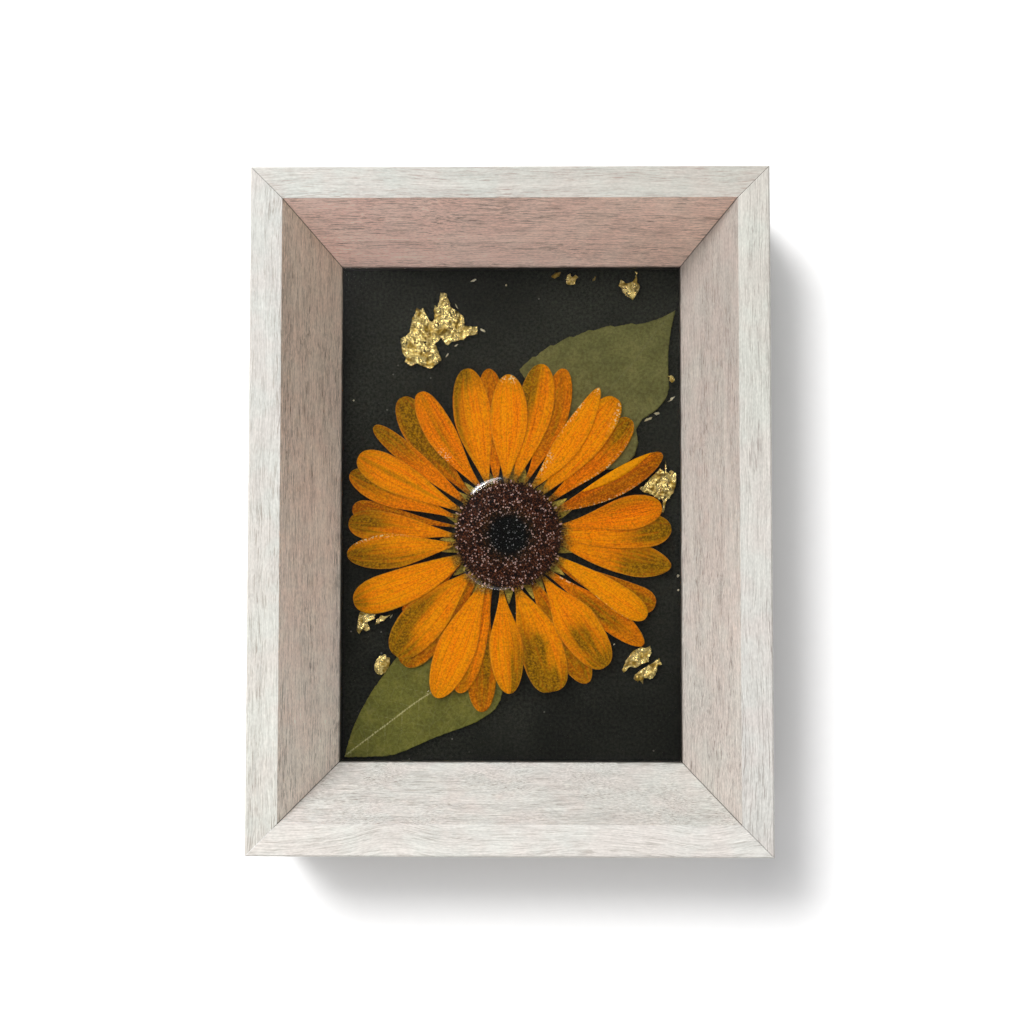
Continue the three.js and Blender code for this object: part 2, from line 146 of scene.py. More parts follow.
class Nodes:
    """Shader nodes made with short calls. Sockets take a number, a colour or another socket."""

    def __init__(self, tree):
        self.tree = tree

    def node(self, kind, inputs=None, **settings):
        made = self.tree.nodes.new(kind)
        for key, value in settings.items():
            setattr(made, key, value)
        for key, value in (inputs or {}).items():
            self.plug(made.inputs[key], value)
        return made

    def plug(self, socket, value):
        if isinstance(value, bpy.types.NodeSocket):
            self.tree.links.new(value, socket)
        elif isinstance(value, tuple) and socket.type == "RGBA":
            socket.default_value = (*value, 1)
        else:
            socket.default_value = value

    def math(self, operation, first, second=0.0, clamp=False):
        return self.node(
            "ShaderNodeMath", {0: first, 1: second}, operation=operation, use_clamp=clamp
        ).outputs[0]

    def add(self, first, second, clamp=False):
        return self.math("ADD", first, second, clamp)

    def subtract(self, first, second):
        return self.math("SUBTRACT", first, second)

    def multiply(self, first, second, clamp=False):
        return self.math("MULTIPLY", first, second, clamp)

    def size(self, value):
        return self.math("ABSOLUTE", value)

    def spread(self, texture, amount):
        """A texture as a change about 0, of half the amount either way."""
        return self.multiply(self.subtract(texture, 0.5), amount)

    def ramp(self, value, low, high, out_low=0.0, out_high=1.0):
        """A smooth step of value from low to high."""
        return self.node(
            "ShaderNodeMapRange",
            {0: value, 1: low, 2: high, 3: out_low, 4: out_high},
            interpolation_type="SMOOTHSTEP",
        ).outputs[0]

    def mix(self, factor, first, second, blend="MIX"):
        return self.node(
            "ShaderNodeMix", {0: factor, 6: first, 7: second}, data_type="RGBA", blend_type=blend
        ).outputs[2]

    def shade(self, colour, factor):
        """The colour times a number."""
        return self.mix(1.0, colour, self.vector(factor, factor, factor), "MULTIPLY")

    def colours(self, value, stops):
        """The colour that belongs to a value, from stops of a place and a colour."""
        made = self.node("ShaderNodeValToRGB", {0: value})
        elements = made.color_ramp.elements
        while len(elements) < len(stops):
            elements.new(0.5)
        for element, (position, colour) in zip(elements, stops):
            element.position = position
            element.color = (*colour, 1)
        return made.outputs["Color"]

    def value(self, name):
        """A number stored on the mesh's points."""
        return self.node("ShaderNodeAttribute", attribute_name=name).outputs["Fac"]

    def vector(self, x, y, z):
        return self.node("ShaderNodeCombineXYZ", {0: x, 1: y, 2: z}).outputs[0]

    def axes(self, vector):
        """The three parts of a vector."""
        return self.node("ShaderNodeSeparateXYZ", {0: vector}).outputs

    def place(self, scale, shift=(0, 0, 0)):
        """The point in metres, scaled and shifted."""
        point = self.node("ShaderNodeTexCoord").outputs["Object"]
        mapped = {0: point, "Location": shift, "Scale": (scale, scale, scale)}
        return self.node("ShaderNodeMapping", mapped).outputs[0]

    def noise(self, vector, detail=2.0, rough=0.5, twist=0.0):
        return self.node(
            "ShaderNodeTexNoise",
            {"Vector": vector, "Scale": 1.0, "Detail": detail, "Roughness": rough, "Distortion": twist},
        ).outputs["Fac"]

    def cells(self, scale, **settings):
        """Distance in a pattern of cells: to a cell's middle, or as feature says."""
        return self.node(
            "ShaderNodeTexVoronoi", {"Vector": self.place(scale), "Scale": 1.0}, **settings
        ).outputs["Distance"]

    def bump(self, height, strength, depth_mm):
        return self.node(
            "ShaderNodeBump", {"Height": height, "Strength": strength, "Distance": depth_mm * MM}
        ).outputs[0]


class Look(Nodes):
    """A material with its shader. The constants go on the shader's own sockets."""

    def __init__(self, name, **constants):
        self.material = bpy.data.materials.new(name)
        self.material.use_nodes = True
        super().__init__(self.material.node_tree)
        self.shader = self.tree.nodes["Principled BSDF"]
        self.set(**constants)

    def set(self, **sockets):
        """Plugs values into the shader, and gives the material."""
        for key, value in sockets.items():
            self.plug(self.shader.inputs[key.replace("_", " ")], value)
        return self.material


# How far up the normal of a rail's slope points
SLOPE_UP = 0.389


def mitre_line(look, place, on_slope):
    """The thin dark line where two rails meet, on their slopes alone."""
    from_mitre = look.subtract(look.subtract(look.size(place[1]), look.size(place[0])), HALF_H - HALF_W)
    line = look.ramp(look.size(from_mitre), 0.18, 0.05)
    return look.multiply(line, look.ramp(on_slope, 0.0, 1.0, 0.0, 0.9))


def foot_shade_and_wetting(look, place, up, streaks):
    """Painted shade in the corner where the slope's foot meets the resin, and the wood that the resin
    has soaked below it, and not on a rail's outside or underside.
    """
    uneven = look.add(place[2], look.spread(streaks, 1.2))
    foot_shade_and_wet = look.ramp(uneven, RESIN_TOP + 0.8, RESIN_TOP, 0.0, 0.85)
    outward = [look.subtract(look.size(place[0]), HALF_W), look.subtract(look.size(place[1]), HALF_H)]
    foot_shade_and_wet = look.multiply(foot_shade_and_wet, look.ramp(look.math("MAXIMUM", *outward), -1.0, -3.0))
    return look.multiply(foot_shade_and_wet, look.ramp(up, -0.9, -0.5))


def wood_material(name, along, face, slope, bare, bend, seed):
    """Whitewashed wood with its grain along axis 0 or 1. face and slope are the washes on the flat
    front and on the bevel, each from one end of the rail to the other: partly the wood's own
    tint and partly painted light and shade, each side lighter or darker for how the light falls
    on it. bare is what shows through them in the pores. bend is how many millimetres the grain
    wanders."""
    look = Look(name, Specular_IOR_Level=0.3)
    point = look.place(1000)
    place = look.axes(point)
    shift = [0.0, 0.0, 0.0]
    shift[1 - along] = look.spread(look.noise(look.place(28, (seed, seed, 0)), detail=1), bend)
    bent = look.node("ShaderNodeVectorMath", {0: point, 1: look.vector(*shift)}, operation="ADD")

    def grain(length, width, **options):
        """A noise drawn out along the grain, its length and width in millimetres."""
        scale = [1 / width] * 3
        scale[along] = 1 / length
        mapped = {0: bent.outputs[0], "Location": (seed, 2 * seed, 3 * seed), "Scale": tuple(scale)}
        return look.noise(look.node("ShaderNodeMapping", mapped).outputs[0], **options)

    figure = grain(60, 4.5, detail=3, twist=0.6)
    streaks = grain(9, 0.32, detail=3, rough=0.75, twist=0.4)
    dashes = grain(5, 0.17, detail=2, rough=0.55)
    flecks = grain(0.8, 0.3, detail=1)
    end = look.ramp(place[along], -55, 55)
    up = look.axes(look.node("ShaderNodeNewGeometry").outputs["Normal"])[2]
    on_slope = look.ramp(look.size(look.subtract(up, SLOPE_UP)), 0.3, 0.05)
    # The washes carry painted light and shade: each side lighter or darker for how the light falls on
    # it, and along the rail
    wash_and_painted_light = look.mix(on_slope, look.mix(end, *face), look.mix(end, *slope))
    tint = look.ramp(look.noise(look.place(130, (0, 0, seed)), detail=2), 0.35, 0.65)
    wash_and_painted_light = look.mix(1.0, wash_and_painted_light, look.mix(tint, (1.0, 0.965, 0.955), (0.985, 1.0, 0.99)), "MULTIPLY")
    shade = look.add(look.multiply(figure, 0.25), look.multiply(streaks, 0.75))
    shade = look.add(shade, look.multiply(flecks, 0.4))
    shade = look.multiply(look.subtract(shade, 0.7), look.ramp(on_slope, 0.0, 1.0, 1.05, 1.6))
    wash_and_painted_light = look.shade(wash_and_painted_light, look.add(shade, 1.05))
    worn = look.multiply(look.ramp(dashes, 0.575, 0.61), look.ramp(figure, 0.7, 0.35, 0.3, 1.0))
    worn = look.multiply(worn, look.ramp(on_slope, 0.0, 1.0, 0.6, 0.9))
    colour = look.mix(worn, wash_and_painted_light, bare)
    colour = look.mix(mitre_line(look, place, on_slope), colour, (0.06, 0.042, 0.03))
    # Painted shade and resin-soaked wood at the foot of the slope, where it meets the resin
    colour = look.mix(foot_shade_and_wetting(look, place, up, streaks), colour, (0.03, 0.024, 0.016))
    height = look.subtract(look.multiply(streaks, 0.4), worn)
    return look.set(
        Base_Color=colour,
        Roughness=look.ramp(worn, 0.0, 1.0, 0.55, 0.8),
        Normal=look.bump(height, 0.4, 0.06),
    )


def panel_material():
    """Black board with a fine greenish grain and a little dust, with a painted reflection: lighter
    toward its top and in broad soft clouds.
    """
    look = Look("black_board", Specular_IOR_Level=0.1)
    fibre = look.noise(look.place(1400), detail=4, rough=0.75)
    painted_reflection_cloud = look.noise(look.place(45, (2, 5, 0)), detail=2)
    specks = look.ramp(look.cells(330), 0.1, 0.04)
    rare = look.ramp(look.noise(look.place(60, (3, 1, 0)), detail=2), 0.54, 0.68)
    board = look.mix(look.ramp(fibre, 0.3, 0.7), (0.0098, 0.0106, 0.008), (0.042, 0.044, 0.034))
    # Painted reflection: the board lighter toward its top and in soft clouds, for the sheen of the resin
    # over it
    height = look.axes(look.place(10))[1]
    shade = look.add(look.ramp(height, -0.5, 0.6, 0.88, 1.3), look.ramp(painted_reflection_cloud, 0.3, 0.7, -0.3, 0.3))
    colour = look.mix(look.multiply(specks, rare), look.shade(board, shade), (0.20, 0.19, 0.16))
    return look.set(
        Base_Color=colour,
        Roughness=look.ramp(fibre, 0.2, 0.8, 0.6, 0.8),
        Normal=look.bump(fibre, 0.3, 0.05),
    )


# A petal's orange from dull to bright
PETAL_STOPS = (
    (0.0, (0.44, 0.090, 0.0002)),
    (0.35, (0.84, 0.200, 0.0002)),
    (0.65, (1.0, 0.290, 0.0002)),
    (1.0, (1.0, 0.42, 0.0004)),
)


def petal_material():
    """Dried ray petals: streaked along their length, bruised olive where the mesh says so, with painted
    highlights: a lighter orange along their edges, and cream glints where the mesh marks them.
    """
    look = Look("pressed_petal", Specular_IOR_Level=0.02)
    along, across, seed = look.value("along"), look.value("across"), look.value("seed")
    off_middle = look.size(across)

    def streaks(narrow, short, **options):
        """A noise in the petal's own places, drawn out along it."""
        place = look.vector(look.multiply(across, narrow), look.multiply(along, short), seed)
        return look.noise(place, detail=3, **options)

    broad = streaks(4.0, 2.2)
    fine = streaks(26.0, 4.0, rough=0.65)
    cloth = look.noise(look.place(2000), detail=3, rough=0.65)
    mottle = look.noise(look.place(650), detail=4, rough=0.75)
    tone = look.add(look.value("tone"), look.spread(broad, 0.7))
    tone = look.add(tone, look.spread(fine, 1.8))
    tone = look.add(tone, look.spread(cloth, 1.1), clamp=True)
    olive = look.mix(look.ramp(cloth, 0.35, 0.65), (0.19, 0.098, 0.001), (0.50, 0.245, 0.003))
    edge = look.add(look.ramp(off_middle, 0.5, 1.0), look.ramp(along, 0.8, 1.0))
    ageing = look.add(look.value("olive"), look.multiply(edge, 0.15))
    ageing = look.add(ageing, look.ramp(mottle, 0.52, 0.72, 0.0, 0.32))
    blotch = look.add(look.ramp(broad, 0.3, 0.7, 0.6, 1.6), look.ramp(cloth, 0.3, 0.7, -0.3, 0.3))
    bruise = look.multiply(ageing, blotch, clamp=True)
    colour = look.mix(bruise, look.colours(tone, PETAL_STOPS), olive)
    # Painted highlight: a lighter orange along the petal's edges
    rim = look.ramp(off_middle, 0.9, 0.99, 0.0, 0.45)
    colour = look.mix(rim, colour, (0.86, 0.38, 0.03))
    uneven = look.add(along, look.spread(mottle, 0.2))
    brown = look.mix(look.ramp(cloth, 0.4, 0.6), (0.09, 0.045, 0.006), (0.36, 0.23, 0.03))
    colour = look.mix(look.ramp(uneven, 0.18, 0.07, 0.0, 0.95), colour, brown)
    colour = look.shade(colour, look.ramp(cloth, 0.3, 0.7, 0.87, 1.23))
    vein = look.ramp(look.value("vein"), 0.2, 1.0, 0.0, 0.42)
    colour = look.mix(vein, colour, look.mix(1.0, colour, (0.55, 0.45, 0.4), "MULTIPLY"))
    # Painted highlights: cream glints where the mesh marks them, broken up by a fine noise
    painted_sparkle = look.ramp(look.noise(look.place(2300), detail=1), 0.57, 0.61, 0.0, 1.4)
    glint = look.multiply(look.value("glint"), painted_sparkle, clamp=True)
    colour = look.mix(glint, colour, (1.0, 0.86, 0.40))
    return look.set(
        Base_Color=colour,
        Roughness=look.ramp(fine, 0.2, 0.8, 0.45, 0.65),
        Normal=look.bump(fine, 0.4, 0.04),
    )


def leaf_material(name, dark, light, rib, rib_strength):
    """A pressed leaf between two greens, with the veins of its mesh and a faint net between them."""
    look = Look(name, Specular_IOR_Level=0.04)
    broad = look.noise(look.place(180), detail=3)
    mottled = look.noise(look.place(1500), detail=4, rough=0.7)
    green = look.mix(look.ramp(broad, 0.3, 0.7), dark, light)
    green = look.shade(green, look.ramp(mottled, 0.25, 0.75, 0.66, 1.24))
    net = look.ramp(look.cells(420, feature="DISTANCE_TO_EDGE"), 0.05, 0.0, 0.0, 0.07 * rib_strength)
    vein = look.add(look.ramp(look.value("vein"), 0.15, 1.0, 0.0, rib_strength), net, clamp=True)
    return look.set(
        Base_Color=look.mix(vein, green, rib),
        Roughness=look.ramp(mottled, 0.2, 0.8, 0.5, 0.7),
        Normal=look.bump(mottled, 0.3, 0.05),
    )


def bract_material():
    """Green bracts, paler toward their tips."""
    look = Look("green_bract", Specular_IOR_Level=0.15)
    fine = look.noise(look.place(2000), detail=3)
    colour = look.mix(look.ramp(look.value("along"), 0.2, 0.95), (0.36, 0.29, 0.03), (0.80, 0.60, 0.09))
    colour = look.shade(colour, look.ramp(fine, 0.3, 0.7, 0.45, 1.25))
    return look.set(Base_Color=colour, Roughness=look.ramp(fine, 0.2, 0.8, 0.5, 0.7))


def floret_material():
    """Dry disc florets: black in the eye, olive brown round it, dark brown outside, with pale tips that
    are partly their own colour and partly painted glints, and painted grey-white glints in the eye.
    """
    look = Look("dried_florets", Specular_IOR_Level=0.08)
    tip, luck, ring = look.value("tip"), look.value("luck"), look.value("ring")
    outside_eye = look.ramp(ring, 0.3, 0.48)
    inner = look.ramp(ring, 0.62, 0.42, 0.0, 0.7)
    rim = look.ramp(ring, 0.94, 0.985)
    grain = look.noise(look.place(4000), detail=2)
    some = look.ramp(luck, 0.2, 0.8)
    brown = look.mix(look.ramp(luck, 0.1, 0.6), (0.010, 0.004, 0.003), (0.26, 0.080, 0.030))
    brown = look.mix(rim, brown, look.mix(some, (0.04, 0.018, 0.005), (0.34, 0.19, 0.045)))
    brown = look.mix(inner, brown, look.mix(some, (0.02, 0.012, 0.004), (0.15, 0.085, 0.025)))
    brown = look.mix(look.ramp(grain, 0.3, 0.55), (0.010, 0.004, 0.002), brown)
    body = look.mix(outside_eye, (0.003, 0.0035, 0.003), brown)
    # Pale tips: partly the florets' own pale tips, partly painted glints
    pale = look.mix(look.ramp(luck, 0.76, 0.95), brown, (1.0, 0.68, 0.57))
    # Painted glints: grey-white specks on a few tips in the eye
    painted_sparkle = look.mix(look.ramp(luck, 0.84, 1.04), (0.006, 0.007, 0.006), (0.62, 0.62, 0.60))
    colour = look.mix(look.ramp(tip, 0.1, 0.5), body, look.mix(outside_eye, painted_sparkle, pale))
    return look.set(Base_Color=colour, Roughness=look.ramp(grain, 0.2, 0.8, 0.4, 0.6))


def gold_material(name, dark, light, rough):
    """Crumpled gold leaf between two colours."""
    look = Look(name, Metallic=1.0)
    patch = look.noise(look.place(500), detail=4, rough=0.65)
    colour = look.mix(look.ramp(patch, 0.35, 0.65), dark, light)
    fine = look.noise(look.place(2600), detail=3)
    return look.set(
        Base_Color=colour,
        Roughness=look.ramp(patch, 0.3, 0.7, rough + 0.1, rough - 0.06),
        Normal=look.bump(look.add(look.cells(1300), look.multiply(fine, 0.8)), 0.7, 0.2),
    )


def resin_material():
    """Clear cast epoxy: transmission, its IOR and a faint warm absorption. The coat carries its
    highlights, which a perfectly smooth surface alone renders as noise."""
    look = Look(
        "clear_resin",
        Base_Color=(1, 1, 1),
        Transmission_Weight=1.0,
        IOR=1.5,
        Roughness=0.0,
        Specular_IOR_Level=0.0,
        Coat_Weight=1.0,
        Coat_IOR=1.5,
        Coat_Roughness=0.12,
    )
    swell = look.noise(look.place(90), detail=1)
    absorb = look.node("ShaderNodeVolumeAbsorption", {"Color": (0.98, 0.96, 0.86), "Density": 12.0})
    output = look.tree.nodes["Material Output"]
    look.tree.links.new(absorb.outputs[0], output.inputs["Volume"])
    return look.set(Normal=look.bump(swell, 0.15, 0.05))


def floor_material():
    look = Look("floor", Specular_IOR_Level=0.1, Roughness=0.9)
    paper = look.noise(look.place(300), detail=2)
    return look.set(Base_Color=look.mix(paper, (0.93, 0.93, 0.93), (0.95, 0.95, 0.95)))


# ---------------------------------------------------------------- mesh helpers


class Mesh:
    """Points, faces and named numbers per point, gathered for one piece."""

    def __init__(self):
        self.points, self.faces, self.values = [], [], {}

    def add(self, points, faces, **values):
        """Adds a body. A value is a list with a number for each point, or one number for them all."""
        start = len(self.points)
        self.points += [tuple(p) for p in points]
        self.faces += [[start + i for i in face] for face in faces]
        for key, numbers in values.items():
            each = numbers if isinstance(numbers, list) else [numbers] * len(points)
            self.values.setdefault(key, []).extend(each)

    def shell(self, upper, lower, faces, **values):
        """Adds a thin closed body, from its upper side's faces and values."""
        for key, numbers in values.items():
            if isinstance(numbers, list):
                values[key] = numbers * 2
        self.add(upper + lower, closed(faces, len(upper)), **values)

    def piece(self, name, material, slot, *nodes, smooth=True):
        """The object, riding on the frame in place of the CAD nodes."""
        data = bpy.data.meshes.new(name)
        data.from_pydata([tuple(MM * c for c in p) for p in self.points], [], self.faces)
        data.materials.append(material)
        if smooth:
            data.shade_smooth()
        for key, numbers in self.values.items():
            data.attributes.new(key, "FLOAT", "POINT").data.foreach_set("value", numbers)
        made = add_object(name, data)
        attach(made, "root")
        if nodes:
            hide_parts(*nodes)
        return made


def grid_faces(rows, columns):
    """Quads that face up where rows run along X and columns along Y."""
    return [
        [i * columns + j, (i + 1) * columns + j, (i + 1) * columns + j + 1, i * columns + j + 1]
        for i in range(rows - 1)
        for j in range(columns - 1)
    ]


def closed(faces, count):
    """Faces of a shell over count upper points, which the same number of lower points follow."""
    shell = [list(face) for face in faces] + [[count + i for i in reversed(face)] for face in faces]
    rim = {}
    for face in faces:
        for a, b in zip(face, face[1:] + face[:1]):
            if (b, a) in rim:
                del rim[(b, a)]
            else:
                rim[(a, b)] = True
    shell += [[b, a, count + a, count + b] for a, b in rim]
    return shell


def turned(profile, segments):
    """Points and faces of a closed body turned about Z, from its lowest point on the axis to its top."""
    points = [(0, 0, profile[0][1])]
    for r, z in profile[1:-1]:
        points += [
            (r * math.cos(math.tau * k / segments), r * math.sin(math.tau * k / segments), z)
            for k in range(segments)
        ]
    points.append((0, 0, profile[-1][1]))
    rings = len(profile) - 2
    faces = []
    for k in range(segments):
        after = (k + 1) % segments
        faces.append([0, 1 + after, 1 + k])
        for i in range(rings - 1):
            low, high = 1 + i * segments, 1 + (i + 1) * segments
            faces.append([low + k, low + after, high + after, high + k])
        last = 1 + (rings - 1) * segments
        faces.append([last + k, last + after, len(points) - 1])
    return points, faces


def outlines(node):
    """The closed loops round the upper side of a flat CAD node, the longest first."""
    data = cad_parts[node].data
    top = max(v.co.z for v in data.vertices) - 1e-5
    rim = {}
    for polygon in data.polygons:
        corners = [data.vertices[i].co / MM for i in polygon.vertices]
        if min(c.z for c in corners) * MM < top or polygon.normal.z < 0.9:
            continue
        ring = [(round(c.x, 3), round(c.y, 3)) for c in corners]
        for a, b in zip(ring, ring[1:] + ring[:1]):
            if b in rim and a in rim[b]:
                rim[b].remove(a)
            else:
                rim.setdefault(a, []).append(b)
    loops = []
    while any(rim.values()):
        start = next(a for a, ends in rim.items() if ends)
        loop, here = [start], rim[start].pop()
        while here != start:
            loop.append(here)
            here = rim[here].pop()
        loops.append(loop)
    return sorted(loops, key=len, reverse=True)


def inside(points, loop):
    """Which of the points lie inside a closed loop."""
    found = np.zeros(len(points), bool)
    x, y = points[:, 0], points[:, 1]
    for (ax, ay), (bx, by) in zip(loop, loop[1:] + loop[:1]):
        if ay != by:
            crosses = (ay > y) != (by > y)
            found ^= crosses & (x < (bx - ax) * (y - ay) / (by - ay) + ax)
    return found


# Two noises for a ragged edge, one for X and one for Y
EDGE_NOISES = (0, 100)


def sheet(loops, spacing, ragged, seed):
    """A flat sheet of small triangles inside the first loop and outside the others. ragged is how
    far its edge wanders. Gives its points and triangles."""
    rims = []
    for loop in loops:
        rim = []
        for a, b in zip(loop, loop[1:] + loop[:1]):
            steps = max(1, round(math.dist(a, b) / spacing))
            for k in range(steps):
                p = Vector(a).lerp(Vector(b), k / steps)
                stray_x, stray_y = (noise.noise((p.x * 1.3, p.y * 1.3, seed + n)) for n in EDGE_NOISES)
                rim.append((p.x + stray_x * ragged, p.y + stray_y * ragged))
        rims.append(rim)
    outer = np.array(rims[0])
    low, high = outer.min(0), outer.max(0)
    rng = np.random.default_rng(seed)
    rows = np.arange(low[1], high[1], spacing * 0.87)
    grid = np.array([
        (x + (0.5 * spacing if i % 2 else 0), y)
        for i, y in enumerate(rows)
        for x in np.arange(low[0], high[0], spacing)
    ]).reshape(-1, 2)
    grid = grid + rng.uniform(-0.18, 0.18, grid.shape) * spacing
    keep = inside(grid, rims[0])
    for rim in rims[1:]:
        keep &= ~inside(grid, rim)
    grid = grid[keep]
    edge = np.concatenate([np.array(rim) for rim in rims])
    if len(grid):
        near = np.array([np.min(np.sum((edge - p) ** 2, axis=1)) for p in grid])
        grid = grid[near > (0.55 * spacing) ** 2]
    links, start = [], 0
    for rim in rims:
        links += [(start + k, start + (k + 1) % len(rim)) for k in range(len(rim))]
        start += len(rim)
    points = [Vector(p) for p in edge.tolist() + grid.tolist()]
    made = delaunay_2d_cdt(points, links, [], 0, 1e-6)
    points, triangles = made[0], made[2]
    middles = np.array([sum((points[i] for i in t), Vector((0, 0))) / 3 for t in triangles])
    keep = inside(middles, rims[0])
    for rim in rims[1:]:
        keep &= ~inside(middles, rim)
    return points, [list(t) for t, kept in zip(triangles, keep) if kept]


def flat_piece(name, node, material, slot, height, spacing, ragged, thickness, seed, vein=None):
    """A thin piece in a flat CAD node's outline. height gives its upper side at a point."""
    points, triangles = sheet(outlines(node), spacing, ragged, seed)
    made = Mesh()
    add_sheet(made, points, triangles, height, thickness, vein)
    return made.piece(name, material, slot, node)


def add_sheet(mesh, points, triangles, height, thickness, vein=None):
    upper = [(p.x, p.y, height(p.x, p.y)) for p in points]
    lower = [(x, y, z - thickness) for x, y, z in upper]
    values = {"vein": [vein(p.x, p.y) for p in points]} if vein else {}
    mesh.shell(upper, lower, triangles, **values)


# ---------------------------------------------------------------- petals

